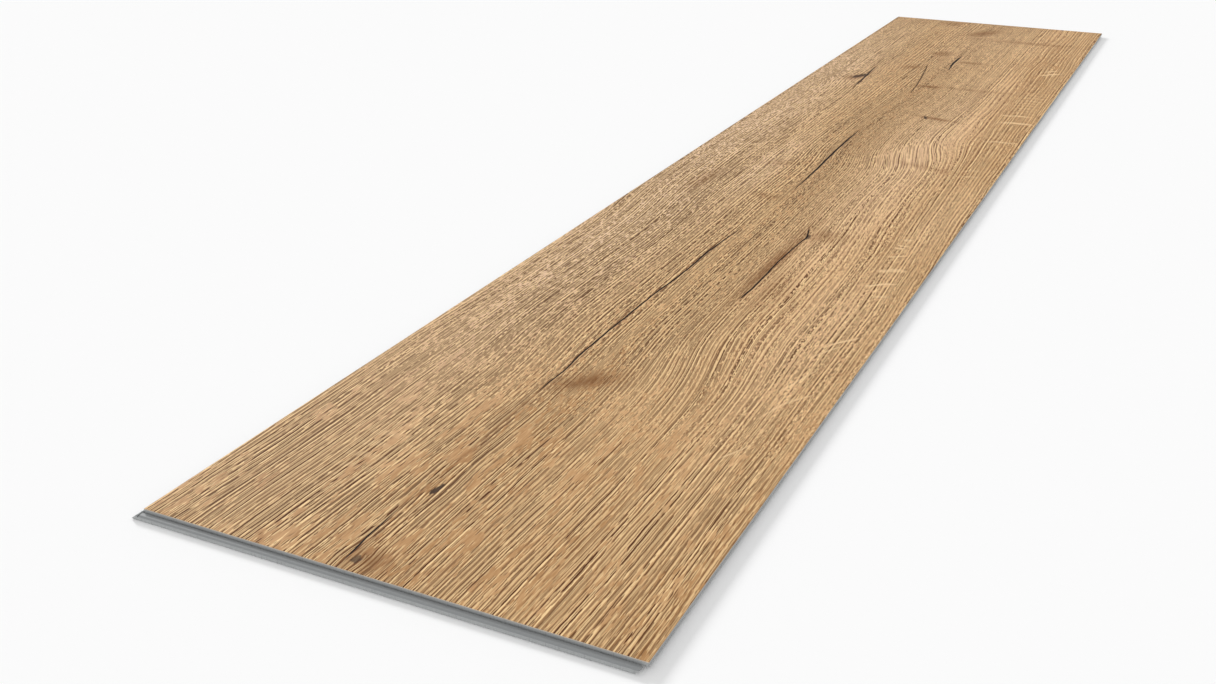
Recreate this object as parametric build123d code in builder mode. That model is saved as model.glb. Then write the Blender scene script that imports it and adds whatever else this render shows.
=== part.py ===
from build123d import *
import os

# Click-lock vinyl floor plank, lying face up.
# A thin oak-print decor layer is pressed on a thick grey filled-vinyl core, and the locking edges
# are milled out of the core. The left long side and the near short end carry a lower lip with a
# channel and an upstanding rib that slopes down to the lip's end. The right long side and the far
# short end overhang, with a key that goes down into the channel of the next plank's lip.
# X runs across the plank, Y along it and Z up. The origin is on the underside, below the centre
# of the visible face. All sizes are in millimetres.

# Visible face
face_width = 228.0
face_length = 1220.0

# Pressed layers
decor_thickness = 0.5
core_thickness = 3.5

# Heights of the milled edges, the same on all four sides
shoulder_height = 0.7  # square edge of the core under the decor, where two planks close up
lip_thickness = 1.5  # lower lip under its channel
rib_height = 0.9  # rib above the channel's floor

# Long sides
long_lip = 3.8  # reach of the lip past the visible face
long_channel = 0.85  # channel's outer wall, from the visible face's edge
long_wall_runout = 0.1  # how far the channel's inner wall leans out, as a lead-in for the key
long_rib_width = 0.45  # rib outside the channel's outer wall
long_nose = 0.5  # height of the lip's end, where the slope outside the rib runs out

# Short ends
short_lip = 3.6
short_channel = 1.1
short_wall_runout = -0.2  # the inner wall undercuts the shoulder, so a dropped plank snaps in
short_rib_width = 1.7
short_nose = 1.9

# Fit and cutter shapes
play = 0.08  # clearance between a lip and the overhang that closes on it
rib_undercut = 0.1  # how far the rib leans over its channel
lip_chamfer = 0.35
key_chamfer = 0.2
channel_chamfer = 0.15

# Levels worked out from the sizes above
shoulder_level = core_thickness - shoulder_height
rib_level = lip_thickness + rib_height
key_level = lip_thickness + play
overhang_level = rib_level + play

# The blank is pressed larger than the milled board, and the cutters run out past it
trim = long_lip + short_lip
cutter_top = core_thickness + trim
cutter_foot = -trim


def corners_at(section, level):
    """Corners of a section that lie at one height."""
    return section.vertices().filter_by_position(Axis.Y, level - play / 4, level + play / 4)


def edge_cutters(plane, span, lip, channel, wall_runout, rib_width, nose):
    """Sections of the two cutters for a pair of opposite edges: one for the lip, one for the overhang."""
    half = span / 2
    lip_end = half + lip
    lip_cut = [
        (-half, cutter_top),
        (-half, shoulder_level),
        (-half - wall_runout, lip_thickness),
        (-half - channel, lip_thickness),
        (-half - channel + rib_undercut, rib_level),
        (-half - channel - rib_width, rib_level),
        (-lip_end, nose),
        (-lip_end, lip_chamfer),
        (-lip_end + lip_chamfer + trim, cutter_foot),
        (-lip_end - 2 * trim, cutter_foot),
        (-lip_end - 2 * trim, cutter_top),
    ]
    overhang_cut = [
        (half - lip - play, cutter_foot),
        (half - lip - play, nose + play),
        (half - channel - rib_width - play, overhang_level),
        (half - channel + rib_undercut + play, overhang_level),
        (half - channel + play, key_level),
        (half - wall_runout - play, key_level),
        (half, shoulder_level),
        (half, cutter_top),
        (half + 2 * trim, cutter_top),
        (half + 2 * trim, cutter_foot),
    ]
    with BuildSketch(plane) as section:
        with BuildLine():
            Polyline(*lip_cut, close=True)
        make_face()
        with BuildLine():
            Polyline(*overhang_cut, close=True)
        make_face()
        chamfer(corners_at(section, lip_thickness), channel_chamfer)
        chamfer(corners_at(section, key_level), key_chamfer)
    return section.sketch


# Core: a pressed blank, milled along its long sides and then across its short ends
with BuildPart() as milled_board:
    with BuildSketch():
        Rectangle(face_width + 2 * trim, face_length + 2 * trim)
    extrude(amount=core_thickness)
    long_cutters = edge_cutters(
        Plane.XZ, face_width, long_lip, long_channel, long_wall_runout, long_rib_width, long_nose
    )
    extrude(long_cutters, face_length, both=True, mode=Mode.SUBTRACT)
    short_cutters = edge_cutters(
        Plane.YZ, face_length, short_lip, short_channel, short_wall_runout, short_rib_width, short_nose
    )
    extrude(short_cutters, face_width, both=True, mode=Mode.SUBTRACT)

# The cutters leave loose offcuts where a lip runs out under an overhang; they fall away
with BuildPart() as core_board:
    add(milled_board.solids().sort_by(SortBy.VOLUME)[-1])

# Decor: printed film and clear wear layer, pressed into one flat sheet over the whole face
with BuildPart() as decor_layer:
    with BuildSketch(Plane.XY.offset(core_thickness)):
        Rectangle(face_width, face_length)
    extrude(amount=decor_thickness)

os.makedirs("parts", exist_ok=True)

core_board.part.label = "core_board"
export_step(core_board.part, "parts/core_board.step")

decor_layer.part.label = "decor_layer"
export_step(decor_layer.part, "parts/decor_layer.step")
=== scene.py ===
import math

import bpy
import numpy as np
from mathutils import Matrix, Vector


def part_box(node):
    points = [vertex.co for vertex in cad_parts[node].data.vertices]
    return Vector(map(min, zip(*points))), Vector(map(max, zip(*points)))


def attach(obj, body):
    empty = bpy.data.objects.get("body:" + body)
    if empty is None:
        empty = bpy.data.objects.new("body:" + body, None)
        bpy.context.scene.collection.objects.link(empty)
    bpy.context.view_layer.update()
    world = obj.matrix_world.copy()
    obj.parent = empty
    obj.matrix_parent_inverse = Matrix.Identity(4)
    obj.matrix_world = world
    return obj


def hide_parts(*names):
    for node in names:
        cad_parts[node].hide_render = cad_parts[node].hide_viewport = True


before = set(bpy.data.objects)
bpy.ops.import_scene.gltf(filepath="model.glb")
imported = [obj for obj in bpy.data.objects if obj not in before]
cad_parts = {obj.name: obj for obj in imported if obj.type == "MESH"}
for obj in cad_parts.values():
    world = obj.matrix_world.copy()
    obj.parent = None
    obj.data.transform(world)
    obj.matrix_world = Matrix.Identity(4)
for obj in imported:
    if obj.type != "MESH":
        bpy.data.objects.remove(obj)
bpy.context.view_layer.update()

# Vinyl floor plank, lying face up: an embossed oak decor sheet on its grey vinyl core.
# The wood figure is described in millimetres on the face: "along" runs from the near end to the
# far end, "across" from the long centre line to the right.

MM = 0.001
FACE_LOW, FACE_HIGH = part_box("decor_layer")
FACE_WIDTH = (FACE_HIGH.x - FACE_LOW.x) / MM
FACE_LENGTH = (FACE_HIGH.y - FACE_LOW.y) / MM
NEAR_END = FACE_LOW.y / MM

# Relief mesh of the decor sheet: its grid, the eased rim round it and its place on the bake map
COLUMNS = 240
ROWS = 380
RIM_WIDTH = 0.3
RIM_DROP = 0.06
MAP_MARGIN = (0.03, 0.015)
MAP_GAP = 0.004

# Cracks that run along the grain, as points (along, across, half width)
CENTRE_CRACK = [
    (0, -17.5, 0.0), (12, -18.0, 0.4), (22, -19.0, 0.4), (45, -20.0, 0.2), (66, -18.6, 0.12),
    (120, -19.0, 0.12), (162, -20.0, 0.12), (176, -20.4, 0.35), (192, -19.6, 0.4), (212, -21.2, 0.5),
    (240, -21.4, 0.5), (305, -20.8, 0.5), (329, -19.4, 0.55), (351, -18.6, 0.5), (385, -19.0, 0.6),
    (401, -18.2, 0.45), (429, -16.4, 0.3), (447, -16.2, 0.0), (520, -11.0, 0.0), (532, -11.2, 0.25),
    (555, -11.4, 0.5), (585, -12.0, 0.75), (610, -13.0, 0.75), (640, -14.0, 0.75), (676, -14.4, 0.75),
    (706, -14.4, 0.2), (716, -14.4, 0.0), (846, -8.5, 0.0), (858, -8.6, 0.3), (880, -10.0, 0.38),
    (915, -13.8, 0.38), (945, -17.4, 0.34), (970, -21.0, 0.3), (984, -23.0, 0.0), (1220, -24.0, 0.0),
]
SIDE_CRACK = [
    (0, 26.0, 0.0), (316, 26.0, 0.0), (326, 26.4, 0.45), (341, 27.2, 0.55), (365, 26.8, 0.5),
    (391, 26.2, 0.45), (425, 27.4, 0.4), (438, 28.2, 0.55), (448, 26.0, 0.4), (462, 22.0, 0.0),
    (955, 2.5, 0.0), (965, 2.0, 0.3), (991, -0.4, 1.0), (1015, -0.4, 1.0), (1030, 0.4, 0.25),
    (1038, 0.6, 0.0), (1220, 0.6, 0.0),
]
KNOT_CRACK = [
    (0, -62.0, 0.0), (852, -62.0, 0.0), (866, -62.4, 0.5), (884, -62.6, 0.7), (905, -64.0, 0.7),
    (930, -65.5, 0.6), (945, -66.0, 0.3), (956, -66.4, 0.0), (1220, -66.0, 0.0),
]
CRACKS = {"centre_crack": CENTRE_CRACK, "side_crack": SIDE_CRACK, "knot_crack": KNOT_CRACK}

# Brown stains round knots: along, across, half length, half width, turn in degrees, strength
STAINS = [
    (9, -8, 8, 9, 0, 0.7), (188, -3, 19, 8, 43, 0.85), (385, 25, 64, 4.5, 1, 0.8),
    (443, 38, 12, 15, 0, 0.5), (345, 38, 28, 9, 0, 0.35), (507, -22, 6, 11, 0, 0.5),
    (525, -79, 26, 6, 0, 0.45), (588, -42, 7, 16, -30, 0.35), (624, 60, 5, 24, 15, 0.4),
    (770, 34, 3.5, 15, 12, 0.95), (884, 3, 4, 12, 0, 0.95), (887, 48, 4, 34, 0, 0.4),
    (896, -70, 17, 7, 20, 0.8), (961, -32, 6, 10, -20, 0.7), (1002, 16, 4, 13, 0, 0.6),
    (1035, -20, 12, 9, 0, 0.65), (1127, 55, 6, 40, 0, 0.5), (1160, -4, 24, 10, 30, 0.75),
    (1203, -44, 11, 9, 0, 0.6),
]

# Broad brown and pale parts of the board, in the terms of the stains
BROWN_PARTS = [
    (-20, 0, 200, 180, 0, 0.75), (720, -9, 430, 17, 0, 0.7), (320, -38, 110, 24, 0, 0.55),
    (400, 10, 120, 14, 0, 0.45), (695, 101, 26, 8, 0, 0.6), (930, 101, 42, 15, 0, 0.9),
    (1100, 106, 100, 12, 0, 0.5), (1150, -25, 90, 16, 0, 0.45), (130, -10, 130, 26, 0, 0.45),
    (930, 92, 360, 30, 0, 0.9), (1000, -32, 240, 28, 0, 0.95), (60, -85, 150, 40, 0, 0.7),
    (1205, 10, 60, 120, 0, 0.6), (1215, 20, 22, 120, 0, 1.0),
]
PALE_PARTS = [
    (640, -98, 330, 36, 0, 1.0), (410, -85, 250, 42, 0, 1.0), (570, -52, 110, 18, 0, 0.8),
    (660, 42, 300, 32, 0, 0.45), (300, 80, 130, 30, 0, 0.25), (900, -100, 260, 34, 0, 0.9),
    (500, 95, 90, 20, 0, 0.2), (1090, 10, 170, 60, 0, 0.2),
]

# Pale ray flecks: along, across, half length, half width, turn in degrees, strength
RAYS = [
    (153, 88, 10, 0.7, 28, 0.7), (200, 90, 16, 0.7, 18, 0.6), (210, 95, 15, 0.7, 31, 0.7),
    (233, 90, 17, 0.7, 18, 0.7), (272, 92, 12, 0.8, 31, 0.8), (287, 96, 13, 1.0, 37, 1.0),
    (377, 93, 11, 1.5, 63, 1.0), (402, 93, 9, 3.4, 75, 0.7), (358, 98, 6, 1.5, 60, 0.7),
    (428, 89, 6, 1.3, 70, 0.9), (444, 87, 4, 1.5, 80, 0.9), (449, 88, 4, 1.5, 95, 0.8),
    (461, 88, 3, 2.0, 80, 0.7), (614, 94, 9, 1.7, 80, 0.6), (630, 93, 7, 1.5, 80, 0.5),
    (719, 97, 13, 2.1, 86, 0.8), (784, 98, 15, 2.6, 86, 1.0), (809, 94, 14, 2.4, 86, 0.9),
    (984, 95, 12, 2.6, 55, 1.0), (998, 93, 7, 2.4, 60, 0.9),
]

# Zones with close bars of flecks, in the terms of the stains
FLECKS = [(862, 96, 36, 14, 0, 0.75), (380, -80, 190, 42, 0, 0.15), (90, -60, 45, 12, 0, 0.3)]

# Dark knot eyes: along, across, half length, half width, turn in degrees, strength
KNOTS = [
    (8, -13.5, 3.0, 2.2, 0, 0.75), (66, -14.0, 5.6, 1.6, 3, 0.95), (438, 29, 5.5, 1.5, -8, 0.75),
    (900, -69, 14.0, 4.2, 24, 0.85), (771, 25, 6.0, 1.6, -16, 0.9),
]

# Places where the grain lines swing aside: along, across, half length, half width, and the shift to the
# left, which is negative where they swing to the right
SWEEPS = [
    (215, -48, 30, 30, 6.0), (230, 32, 35, 36, 12.0), (430, 70, 120, 70, 10.0), (460, -95, 45, 44, 11.0),
    (625, 14, 26, 36, 13.0), (668, 56, 30, 26, 9.0), (795, 15, 50, 40, -14.0),
]

# Rows of long and of short pores: seed, pitch, strength at the near end and strength past it
LONG_PORES = 12.3
SHORT_PORES = 13.3
PORE_ROWS = [
    (LONG_PORES, 2.2, 1.0, 0.6), (SHORT_PORES, 1.2, 0.85, 0.6),
    (LONG_PORES, 2.6, 0.3, 0.95), (SHORT_PORES, 1.8, 0.4, 1.0),
]

# Where the open grain of the near end goes over to the even, finer grain past it, and where dashes
# start to get shorter, in millimetres from the near end
NEAR_PART = (60.0, 280.0)
SHORTER_FROM = 150.0

# Pores and the painted highlights beside them (painted light standing in for the lit wall of each
# embossed pore), in pitches: half width of a pore on the right side, what is added to it towards the
# left, and where a highlight lies and how many times as wide it is
PORE_HALF_WIDTH = 0.16
PORE_WIDENING = 0.045
HIGHLIGHT_ASIDE = 0.38
HIGHLIGHT_WIDTH = 1.25

# How far the grain lines wander over the whole board, over a few centimetres and over millimetres, in
# millimetres, and how far each row of them sways, in pitches
DRIFT = 8.0
RIPPLE = 0.6
TREMOR = 0.5
SWAY = 1.3

# Parts where the pores stand open and dark, in the terms of the stains
OPEN_PARTS = [
    (245, 32, 60, 36, 0, 1.0), (430, -70, 210, 45, 0, 0.6), (40, 70, 110, 50, 0, 0.6),
    (90, -80, 130, 34, 0, 0.5), (630, 85, 120, 16, 0, 0.2),
]

# Soft zones that the oak material reads by name
ZONES = {
    "stain": STAINS, "fleck": FLECKS, "open": OPEN_PARTS, "brown": BROWN_PARTS, "pale": PALE_PARTS,
}

# Embossing, in millimetres: depths of the bands along the grain, of a crack's hollow and of a knot's,
# half width of a crack's hollow, and the greatest depth
FINE_BANDS = 0.05
BROAD_BANDS = 0.03
CRACK_DEPTH = 0.3
KNOT_DEPTH = 0.22
HOLLOW_HALF_WIDTH = 0.9
DEEPEST = 0.42


def turned(along, across, mark):
    """Distances from a mark's centre along and across its own axes, in its half sizes."""
    turn = math.radians(mark[4])
    out = along - mark[0]
    side = across - mark[1]
    return (
        (out * math.cos(turn) + side * math.sin(turn)) / mark[2],
        (side * math.cos(turn) - out * math.sin(turn)) / mark[3],
    )


def zone_field(along, across, marks):
    """Soft spots on the face, each as strong as its mark says, from 0 to 1."""
    total = np.zeros_like(along)
    for mark in marks:
        out, side = turned(along, across, mark)
        total = np.maximum(total, mark[5] * np.exp(-(out**2) - side**2))
    return total


def bend_field(along, across):
    """How far the grain lines lie aside of straight lines, in millimetres."""
    shift = np.zeros_like(along)
    for at, aside, half_length, half_width, amount in SWEEPS:
        passed = 0.5 + 0.5 * np.tanh((along - at) / half_length)
        shift += amount * passed * np.exp(-(((across - aside) / half_width) ** 2))
    for mark in KNOTS:
        out, side = turned(along, across, mark)
        spread = np.exp(-((out / 3) ** 2) - (side / 4) ** 2)
        shift -= 0.3 * (across - mark[1]) * spread
    return shift


def stretch_field(along, across):
    """How fast the grain lines follow each other across the face: 1 where they run straight."""
    step = 0.5
    rise = bend_field(along, across + step) - bend_field(along, across - step)
    return np.clip(1 + rise / (2 * step), 0.3, 1.7)


def crack_fields(along, across, points):
    """Signed distance from a crack's slightly wavy middle and its half width there, in millimetres."""
    at, middle, half_width = np.array(points).T
    wander = 0.15 * np.sin(along / 3.1) * np.sin(along / 7.7 + 1.0)
    return across - np.interp(along, at, middle) - wander, np.interp(along, at, half_width)


def lattice_noise(u, v, seed):
    """Smooth noise from 0 to 1 with one random value at each whole number of u and v."""
    size = 256
    values = np.random.default_rng(seed).random((size, size))
    i, j = np.floor(u).astype(int), np.floor(v).astype(int)
    f, g = u - i, v - j
    f, g = f * f * (3 - 2 * f), g * g * (3 - 2 * g)

    def corner(a, b):
        return values[(i + a) % size, (j + b) % size]

    near = corner(0, 0) * (1 - f) + corner(1, 0) * f
    far = corner(0, 1) * (1 - f) + corner(1, 1) * f
    return near * (1 - g) + far * g


def relief_depth(along, across):
    """Depth of the embossing below the top of the sheet, in millimetres."""
    line = across + bend_field(along, across)
    depth = FINE_BANDS * lattice_noise(line / 2.3, along / 60, 3)
    depth += BROAD_BANDS * lattice_noise(line / 5.1, along / 140, 4)
    for points in CRACKS.values():
        gap, half_width = crack_fields(along, across, points)
        hollow = np.exp(-((gap / HOLLOW_HALF_WIDTH) ** 2))
        depth += CRACK_DEPTH * hollow * np.clip(half_width / 0.5, 0, 1)
    for mark in KNOTS:
        out, side = turned(along, across, mark)
        depth += KNOT_DEPTH * np.exp(-(out**2) - side**2)
    return np.clip(depth, 0, DEEPEST)


def grid_lines(low, high, count):
    """Even grid lines with a narrow strip at both ends for the eased rim."""
    inner = np.linspace(low + RIM_WIDTH, high - RIM_WIDTH, count - 1)
    return np.concatenate([[low], inner, [high]])


def attribute(mesh, name, kind, values):
    """Writes a value or a vector for each point of the mesh, for the material to read."""
    layer = mesh.attributes.new(name, kind, "POINT")
    entry = "vector" if kind == "FLOAT_VECTOR" else "value"
    layer.data.foreach_set(entry, np.ascontiguousarray(values, np.float32).ravel())


def bake_map(mesh, quads, rim, along, across):
    """Spreads the top over nearly the whole bake map, with the sides and the underside in its margins."""
    margin = np.array(MAP_MARGIN)
    share = np.stack([across / FACE_WIDTH + 0.5, along / FACE_LENGTH], -1)
    top = margin + share * (1 - 2 * margin)
    directions = [(0, -1), (1, 0), (0, 1), (-1, 0)]
    outward = np.repeat(directions, [COLUMNS, ROWS, COLUMNS, ROWS], axis=0) * MAP_GAP
    start = top[rim]
    end = top[np.roll(rim, -1)]
    sides = np.stack([end + outward, start + outward, start + 2 * outward, end + 2 * outward], 1)
    under = np.stack([MAP_GAP * (0.5 + share[rim, 0]), top[rim, 1]], -1)[::-1]
    layer = mesh.uv_layers.new(name="OFBake")
    places = np.concatenate([top[quads].reshape(-1, 2), sides.reshape(-1, 2), under])
    layer.data.foreach_set("uv", places.astype(np.float32).ravel())


def decor_sheet():
    """The oak decor as a closed sheet with its embossing in the mesh."""
    columns = grid_lines(-FACE_WIDTH / 2, FACE_WIDTH / 2, COLUMNS)
    rows = grid_lines(0, FACE_LENGTH, ROWS)
    along, across = (a.ravel() for a in np.meshgrid(rows, columns, indexing="ij"))
    number = np.arange(along.size).reshape(ROWS + 1, COLUMNS + 1)
    corners = [number[:-1, :-1], number[:-1, 1:], number[1:, 1:], number[1:, :-1]]
    quads = np.stack(corners, -1).reshape(-1, 4)
    rim = np.concatenate([number[0, :-1], number[:-1, -1], number[-1, :0:-1], number[:0:-1, 0]])
    foot = along.size + np.arange(rim.size)
    sides = np.stack([np.roll(rim, -1), rim, foot, np.roll(foot, -1)], -1)
    depth = relief_depth(along, across)
    depth[rim] += RIM_DROP
    place = np.stack([across, along + NEAR_END, FACE_HIGH.z / MM - depth], -1) * MM
    low = place[rim].copy()
    low[:, 2] = FACE_LOW.z
    faces = quads.tolist() + sides.tolist() + [foot[::-1].tolist()]
    mesh = bpy.data.meshes.new("oak_decor_sheet")
    mesh.from_pydata(np.concatenate([place, low]).tolist(), [], faces)
    bake_map(mesh, quads, rim, along, across)
    along = np.append(along, along[rim])
    across = np.append(across, across[rim])
    attribute(mesh, "bend", "FLOAT", bend_field(along, across))
    attribute(mesh, "stretch", "FLOAT", stretch_field(along, across))
    for name, marks in ZONES.items():
        attribute(mesh, name, "FLOAT", zone_field(along, across, marks))
    for name, points in CRACKS.items():
        gap, half_width = crack_fields(along, across, points)
        attribute(mesh, name, "FLOAT_VECTOR", np.stack([gap, half_width, np.zeros_like(gap)], -1))
    is_top = np.arange(len(faces)) < len(quads)
    mesh.polygons.foreach_set("material_index", np.where(is_top, 0, 1).astype(np.int32))
    mesh.polygons.foreach_set("use_smooth", is_top)
    mesh.update()
    sheet = bpy.data.objects.new("oak_decor_sheet", mesh)
    bpy.context.scene.collection.objects.link(sheet)
    return sheet


# Shader fields


class Field:
    """A number that varies over a surface: the output of a shader node. Arithmetic adds Math nodes."""

    def __init__(self, socket):
        self.socket = socket

    def math(self, operation, *others):
        node = self.socket.id_data.nodes.new("ShaderNodeMath")
        node.operation = operation
        for entry, value in zip(node.inputs, (self, *others)):
            plug(entry, value)
        return Field(node.outputs[0])

    def __add__(self, other):
        return self.math("ADD", other)

    def __sub__(self, other):
        return self.math("SUBTRACT", other)

    def __mul__(self, other):
        return self.math("MULTIPLY", other)

    def __truediv__(self, other):
        return self.math("DIVIDE", other)

    def away(self):
        """The number without its sign."""
        return self.math("ABSOLUTE")

    def step(self, low, high):
        """0 at low and 1 at high, with a smooth rise between them."""
        node = self.socket.id_data.nodes.new("ShaderNodeMapRange")
        node.interpolation_type = "SMOOTHSTEP"
        plug(node.inputs["Value"], self)
        plug(node.inputs["From Min"], low)
        plug(node.inputs["From Max"], high)
        return Field(node.outputs["Result"])


def plug(entry, value):
    """Feeds a node's entry from a field or sets it to a fixed value."""
    if isinstance(value, Field):
        entry.id_data.links.new(value.socket, entry)
    else:
        entry.default_value = value


def vector(x, y, z):
    """Three numbers as one vector: x is a field, and the others are fields or fixed."""
    node = x.socket.id_data.nodes.new("ShaderNodeCombineXYZ")
    for entry, value in zip(node.inputs, (x, y, z)):
        plug(entry, value)
    return Field(node.outputs[0])


def noise(x, y, seed, detail=2.0, roughness=0.5):
    """Smooth noise from 0 to 1 with spots about one unit wide."""
    node = x.socket.id_data.nodes.new("ShaderNodeTexNoise")
    plug(node.inputs["Vector"], vector(x, y, seed))
    plug(node.inputs["Scale"], 1.0)
    plug(node.inputs["Detail"], detail)
    plug(node.inputs["Roughness"], roughness)
    return Field(node.outputs[0])


def cells(x, y, seed):
    """Distance to the nearest of a scatter of points, about one for each unit square."""
    node = x.socket.id_data.nodes.new("ShaderNodeTexVoronoi")
    node.voronoi_dimensions = "2D"
    plug(node.inputs["Vector"], vector(x + seed, y, 0.0))
    plug(node.inputs["Scale"], 1.0)
    return Field(node.outputs["Distance"])


def blend(share, first, second):
    """The first colour where the share is 0 and the second where it is 1."""
    node = share.socket.id_data.nodes.new("ShaderNodeMix")
    node.data_type = "RGBA"
    for name, value in (("Factor_Float", share), ("A_Color", first), ("B_Color", second)):
        plug(next(e for e in node.inputs if e.identifier == name), value)
    return Field(next(e for e in node.outputs if e.identifier == "Result_Color"))


def srgb(red, green, blue):
    """A colour written as 0 to 255 screen values, as the linear values that the shader takes."""
    parts = (c / 255 for c in (red, green, blue))
    return (*(c / 12.92 if c <= 0.04045 else ((c + 0.055) / 1.055) ** 2.4 for c in parts), 1.0)


# Colours of the oak print
DARK_WOOD = srgb(158, 116, 73)
LIGHT_WOOD = srgb(233, 190, 141)
BROWN_WOOD = srgb(157, 112, 67)
PALE_WOOD = srgb(238, 205, 174)
# Painted highlight beside each pore, standing in for light on the wall of the embossed groove
PORE_HIGHLIGHT = srgb(247, 212, 158)
PORE = srgb(76, 37, 12)
RAY_FLECK = srgb(238, 204, 158)
STAIN = srgb(122, 80, 42)
CRACK_BORDER = srgb(118, 74, 36)
KNOT_EYE = srgb(58, 42, 32)
OPEN_CRACK = srgb(26, 18, 14)

# Colours of the decor sheet's cut edge
PRINT_EDGE = srgb(168, 148, 126)
CLEAR_EDGE = srgb(196, 190, 182)

# Colours of the filled vinyl core
CORE_DARK = srgb(143, 145, 145)
CORE_LIGHT = srgb(165, 167, 167)
CORE_SPECK = srgb(120, 121, 122)
# Painted shade for the up-facing milled ledges of the core
CORE_LEDGE_SHADE = srgb(124, 126, 127)


def new_material(name):
    material = bpy.data.materials.new(name)
    material.use_nodes = True
    return material, material.node_tree.nodes["Principled BSDF"]


def read_attribute(tree, name):
    node = tree.nodes.new("ShaderNodeAttribute")
    node.attribute_name = name
    return node


def split(field):
    """The three parts of a vector."""
    node = field.socket.id_data.nodes.new("ShaderNodeSeparateXYZ")
    plug(node.inputs[0], field)
    return [Field(out) for out in node.outputs]


def place_in_mm(tree):
    """Across, along (from the near end) and up on the plank, in millimetres."""
    node = tree.nodes.new("ShaderNodeTexCoord")
    x, y, z = split(Field(node.outputs["Object"]))
    return x * (1 / MM), y * (1 / MM) - NEAR_END, z * (1 / MM)


def add_bump(shader, height):
    """Fine relief, with height in millimetres."""
    tree = shader.id_data
    node = tree.nodes.new("ShaderNodeBump")
    node.inputs["Strength"].default_value = 1.0
    node.inputs["Distance"].default_value = MM
    plug(node.inputs["Height"], height)
    tree.links.new(node.outputs["Normal"], shader.inputs["Normal"])


def knot_eye(across, along, mark):
    """1 in the heart of a knot, falling to 0 at its ragged edge."""
    out, side = turned(along, across, mark)
    ragged = (noise(across / 1.3, along / 2.6, 40.3 + mark[0], 3.0, 0.6) - 0.5) * 1.8
    reach = (out * out + side * side).math("SQRT") + ragged
    return reach.step(1.15, 0.6)


def chance(number, seed):
    """A random value from 0 to 1 for each whole number."""
    node = number.socket.id_data.nodes.new("ShaderNodeTexWhiteNoise")
    node.noise_dimensions = "1D"
    plug(node.inputs["W"], number + seed)
    return Field(node.outputs["Value"])


def swayed(line, along, seed, pitch):
    """Grain lines counted across the face in pitches, with a slow sway along them."""
    return line / pitch + noise(line / (3.0 * pitch), along / 100.0, seed, 1.0) * SWAY


def threads(count, seed, half_width):
    """A thin line for each whole number that the count passes, each of its own strength."""
    strength = chance(count.math("FLOOR"), seed) * 0.5 + 0.5
    away = (count.math("FRACT") - 0.5).away()
    return away.step(half_width * 1.2, half_width * 0.7) * strength


def most(fields):
    """The highest of several fields."""
    fields = iter(fields)
    highest = next(fields)
    for field in fields:
        highest = highest.math("MAXIMUM", field)
    return highest


def wood_tones(line, across, along, marks):
    """Ground colour of the wood: broad brown and pale parts, soft bands and fine fibre."""
    band = noise(line / 8.0, along / 330.0, 5.3, 3.0, 0.55)
    patch = noise(across / 30.0, along / 90.0, 6.3, 2.0)
    streak = noise(line / 2.0, along / 60.0, 9.3, 2.0, 0.6)
    fibre = noise(line / 0.45, along / 10.0, 7.3, 1.0, 0.6)
    mottle = noise(line / 2.4, along / 10.0, 4.3, 2.0, 0.6)
    tone = (band - 0.5) * 0.75 + (patch - 0.5) * 0.45 + (streak - 0.5) * 0.3 + (mottle - 0.5) * 0.45
    tone = tone + (fibre - 0.5) * 0.8 + 0.5
    colour = blend(tone.step(0.0, 1.0), DARK_WOOD, LIGHT_WOOD)
    colour = blend(marks["brown"] * 0.6, colour, BROWN_WOOD)
    return blend(marks["pale"] * 0.78, colour, PALE_WOOD), fibre


def wood_pores(line, across, along, marks):
    """Thin dark dashes along the grain and a painted highlight beside each, closer in some rows."""
    further = along.step(*NEAR_PART)
    calm = (noise(across / 11.0, along / 28.0, 18.3, 1.0) - 0.5) * (further * -0.33 + 0.48)
    rows = (noise(line / 5.0, along / 200.0, 8.3, 1.0) - 0.5) * (further * -0.22 + 0.32)
    open_row = rows + marks["open"] * 0.1 + calm
    run = along + (along - SHORTER_FROM).math("MAXIMUM", 0.0) * (across.step(10.0, 80.0) + 1.0)
    long_dash = (noise(line / 1.9, run / 11.0, 16.3, 1.0) + open_row).step(0.42, 0.52)
    short_dash = (noise(line / 1.3, run / 6.6, 17.3, 1.0) + open_row).step(0.44, 0.54)
    half_width = marks["stretch"] * (across.step(70.0, -70.0) * PORE_WIDENING + PORE_HALF_WIDTH)
    pores = pore_highlights = along * 0.0
    for seed, pitch, near_strength, far_strength in PORE_ROWS:
        dash = long_dash if seed == LONG_PORES else short_dash
        strength = (further * (far_strength - near_strength) + near_strength) * dash
        count = swayed(line, along, seed, pitch)
        pores = pores.math("MAXIMUM", threads(count, seed, half_width) * strength)
        # Painted highlight a little to one side of each pore
        pore_highlights = pore_highlights.math("MAXIMUM", threads(count - HIGHLIGHT_ASIDE, seed, half_width * HIGHLIGHT_WIDTH) * strength)
    return pores, pore_highlights


def ray(across, along, mark):
    """1 on a ray fleck, falling to 0 at its edge."""
    out, side = turned(along, across, mark)
    return (out * out + side * side).step(1.2, 0.4) * mark[5]


def wood_flecks(across, along, zone):
    """Pale ray flecks across the grain: some by themselves, and close bars in some zones."""
    wobbled = along + (across * 0.45).math("SINE") * 0.7 + (across * 0.17).math("SINE") * 1.2
    rays = most(ray(across, wobbled, mark) for mark in RAYS)
    bars = threads(swayed(wobbled, across, 19.3, 10.0), 19.3, 0.2) * zone
    return most([bars, rays])


def wood_cracks(tree):
    """The open cracks and the brown border along them."""
    gaps, borders = [], []
    for name in CRACKS:
        gap, half_width = split(Field(read_attribute(tree, name).outputs["Vector"]))[:2]
        borders.append(gap.away().step(1.8, 0.3) * half_width.step(0.0, 0.12))
        share = gap.away() / half_width.math("MAXIMUM", 0.02)
        gaps.append(share.step(1.3, 0.9) * half_width.step(0.1, 0.3))
    return most(gaps), most(borders)


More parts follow.
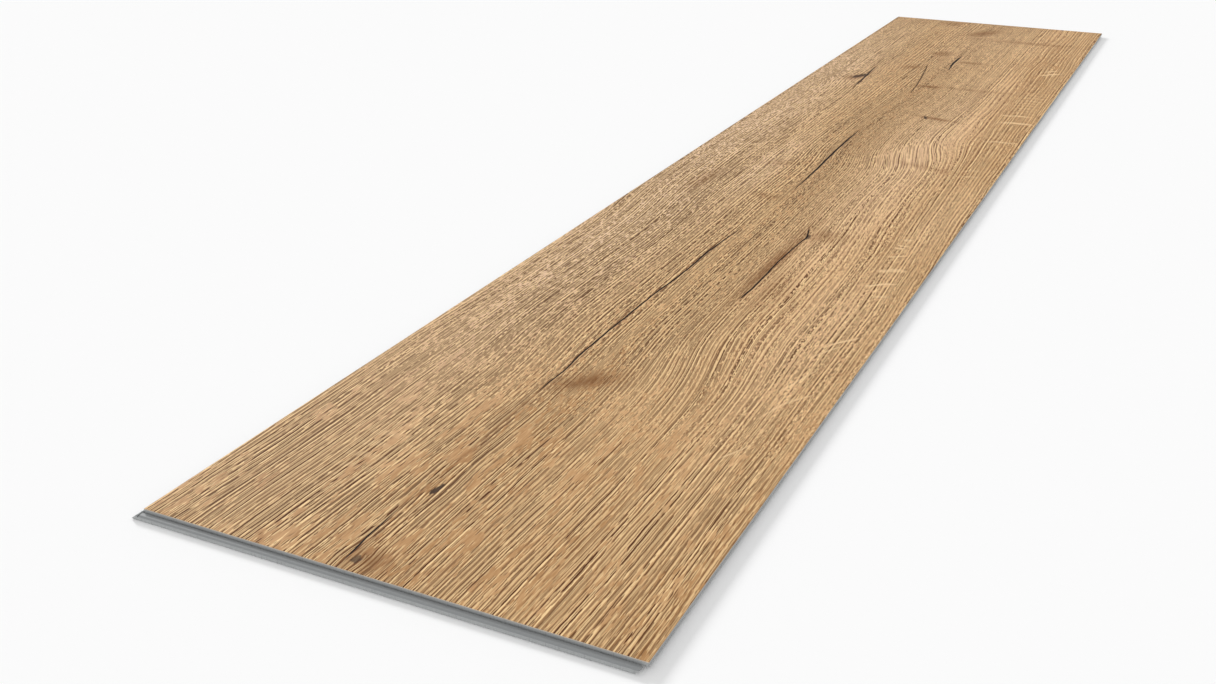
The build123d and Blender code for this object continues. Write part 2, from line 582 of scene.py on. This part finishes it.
def oak_decor():
    """The oak print under its matt wear layer."""
    material, shader = new_material("oak_decor")
    tree = material.node_tree
    across, along = place_in_mm(tree)[:2]
    names = ("bend", "stretch", *ZONES)
    marks = {name: Field(read_attribute(tree, name).outputs["Fac"]) for name in names}
    drift = (noise(across / 60.0, along / 240.0, 1.3) - 0.5) * DRIFT
    ripple = (noise(across / 6.0, along / 24.0, 2.3) - 0.5) * RIPPLE
    tremor = (noise(across / 1.6, along / 6.0, 3.3) - 0.5) * TREMOR
    line = across + marks["bend"] + drift + ripple + tremor

    colour, fibre = wood_tones(line, across, along, marks)
    pores, pore_highlights = wood_pores(line, across, along, marks)
    flecks = wood_flecks(across, along, marks["fleck"])
    mottle = noise(line / 2.2, along / 9.0, 10.3, 3.0, 0.6)
    browned = marks["stain"] * (mottle * 1.1 + 0.4)
    cracks, borders = wood_cracks(tree)
    eyes = most(knot_eye(across, along, mark) * mark[5] for mark in KNOTS)

    # Painted highlights beside the pores
    colour = blend(pore_highlights * 0.95, colour, PORE_HIGHLIGHT)
    colour = blend(pores * 0.98, colour, PORE)
    colour = blend(flecks * 0.75, colour, RAY_FLECK)
    colour = blend(browned.math("MINIMUM", 0.92), colour, STAIN)
    colour = blend(borders * (mottle * 0.5 + 0.05), colour, CRACK_BORDER)
    colour = blend(eyes, colour, KNOT_EYE)
    colour = blend(cracks, colour, OPEN_CRACK)
    tree.links.new(colour.socket, shader.inputs["Base Color"])

    shine = fibre * 0.12 + pores * 0.1 + 0.48
    tree.links.new(shine.socket, shader.inputs["Roughness"])
    shader.inputs["Specular IOR Level"].default_value = 0.03
    add_bump(shader, pores * -0.1 + fibre * 0.04)
    return material


def film_edge():
    """Cut edge of the decor sheet: the clear wear layer over a thread of print."""
    material, shader = new_material("film_edge")
    tree = material.node_tree
    across, along, up = place_in_mm(tree)
    streak = noise((across + along) / 3.0, up / 0.2, 21.0, 2.0)
    level = ((up - FACE_LOW.z / MM) / ((FACE_HIGH.z - FACE_LOW.z) / MM)).step(0.05, 0.35)
    colour = blend(level * (streak * 0.4 + 0.7), PRINT_EDGE, CLEAR_EDGE)
    tree.links.new(colour.socket, shader.inputs["Base Color"])
    shader.inputs["Roughness"].default_value = 0.5
    return material


def grey_core():
    """Filled vinyl, with painted shade on the faces that point up, which darkens the milled ledges
    against the cut sides.
    """
    material, shader = new_material("grey_core")
    tree = material.node_tree
    across, along, up = place_in_mm(tree)
    normal = Field(tree.nodes.new("ShaderNodeNewGeometry").outputs["Normal"])
    # Faces that point up get painted shade
    ledge_shade = split(normal)[2].step(0.6, 0.9)
    cloud = noise(across / 30.0, along / 30.0, 31.0, 3.0)
    grit = noise(across / 0.5, along / 0.5, 32.0, 3.0, 0.7)
    specks = cells(across / 1.4, along / 1.4, 5.0).step(0.16, 0.06)
    tone = (cloud - 0.5) * 0.5 + (grit - 0.5) * 0.8 + 0.5
    colour = blend(tone.step(0.1, 0.9), CORE_DARK, CORE_LIGHT)
    colour = blend(specks * 0.5, colour, CORE_SPECK)
    # Painted shade on the up-facing ledges
    colour = blend(ledge_shade * 0.8, colour, CORE_LEDGE_SHADE)
    tree.links.new(colour.socket, shader.inputs["Base Color"])
    shader.inputs["Roughness"].default_value = 0.6
    shader.inputs["Specular IOR Level"].default_value = 0.3
    chatter = noise(up / 0.12, (across + along) / 25.0, 33.0, 2.0)
    add_bump(shader, grit * 0.02 + chatter * 0.03)
    return material


# Floor: half its side and how far it lies below the underside, in metres
FLOOR_REACH = 6.0
FLOOR_DROP = 0.0001


def pale_floor():
    material, shader = new_material("pale_floor")
    shader.inputs["Base Color"].default_value = (0.93, 0.93, 0.93, 1.0)
    shader.inputs["Roughness"].default_value = 0.9
    shader.inputs["Specular IOR Level"].default_value = 0.0
    mesh = bpy.data.meshes.new("pale_floor")
    corners = [(-1, -1), (1, -1), (1, 1), (-1, 1)]
    mesh.from_pydata([(x * FLOOR_REACH, y * FLOOR_REACH, 0) for x, y in corners], [], [(0, 1, 2, 3)])
    floor = bpy.data.objects.new("pale_floor", mesh)
    floor.location.z = -FLOOR_DROP
    bpy.context.scene.collection.objects.link(floor)
    mesh.materials.append(material)


# Strength of the white room as a light
ROOM_LIGHT = 0.64


def white_world():
    """White where it is seen, also in a reflection, and a softer white as the room's light."""
    world = bpy.data.worlds.new("studio")
    world.use_nodes = True
    bpy.context.scene.world = world
    tree = world.node_tree
    background = tree.nodes["Background"]
    background.inputs["Color"].default_value = (1.0, 1.0, 1.0, 1.0)
    path = tree.nodes.new("ShaderNodeLightPath")
    seen = Field(path.outputs["Is Camera Ray"])
    for name in ("Is Glossy Ray", "Is Transmission Ray"):
        seen = seen.math("MAXIMUM", Field(path.outputs[name]))
    tree.links.new((seen * (1.0 - ROOM_LIGHT) + ROOM_LIGHT).socket, background.inputs["Strength"])


# Lamps: direction to the lamp, strength and how wide its soft disc looks from the plank
LAMPS = {
    "low_key": (Vector((-1.0, 0.75, 0.5)), 2.1, math.radians(14)),
    "front_fill": (Vector((0.35, -1.0, 0.5)), 1.1, math.radians(60)),
}


def lamp(name, direction, strength, width):
    light = bpy.data.lights.new(name, "SUN")
    light.energy = strength
    light.angle = width
    holder = bpy.data.objects.new(name, light)
    holder.rotation_euler = direction.to_track_quat("Z", "Y").to_euler()
    bpy.context.scene.collection.objects.link(holder)


# Camera, solved from the four corners of the face in the photograph of 1216 by 684 pixels
PHOTO_WIDTH = 1216
FOCAL_PIXELS = 1310.63
SENSOR_WIDTH = 36.0
CAMERA_FROM_FACE = Vector((259.900, -943.904, 284.836)) * MM
CAMERA_RIGHT = Vector((0.89972545, 0.43645381, 0.00147565))
CAMERA_DOWN = Vector((0.18084938, -0.3697297, -0.91136899))


def photo_camera():
    data = bpy.data.cameras.new("photo_camera")
    data.sensor_fit = "HORIZONTAL"
    data.sensor_width = SENSOR_WIDTH
    data.lens = FOCAL_PIXELS / PHOTO_WIDTH * SENSOR_WIDTH
    data.clip_start = 0.01
    camera = bpy.data.objects.new("photo_camera", data)
    right = CAMERA_RIGHT.normalized()
    up = -CAMERA_DOWN.normalized()
    turn = Matrix((right, up, right.cross(up))).transposed()
    face_centre = Vector(((FACE_LOW.x + FACE_HIGH.x) / 2, (FACE_LOW.y + FACE_HIGH.y) / 2, FACE_HIGH.z))
    camera.matrix_world = Matrix.Translation(face_centre + CAMERA_FROM_FACE) @ turn.to_4x4()
    bpy.context.scene.collection.objects.link(camera)
    bpy.context.scene.camera = camera


sheet = decor_sheet()
sheet.data.materials.append(oak_decor())
sheet.data.materials.append(film_edge())
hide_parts("decor_layer")
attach(sheet, "root")

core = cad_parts["core_board"]
core.data.materials.clear()
core.data.materials.append(grey_core())

pale_floor()
white_world()
for name, (direction, strength, width) in LAMPS.items():
    lamp(name, direction, strength, width)
photo_camera()
bpy.context.scene.view_settings.view_transform = "Standard"
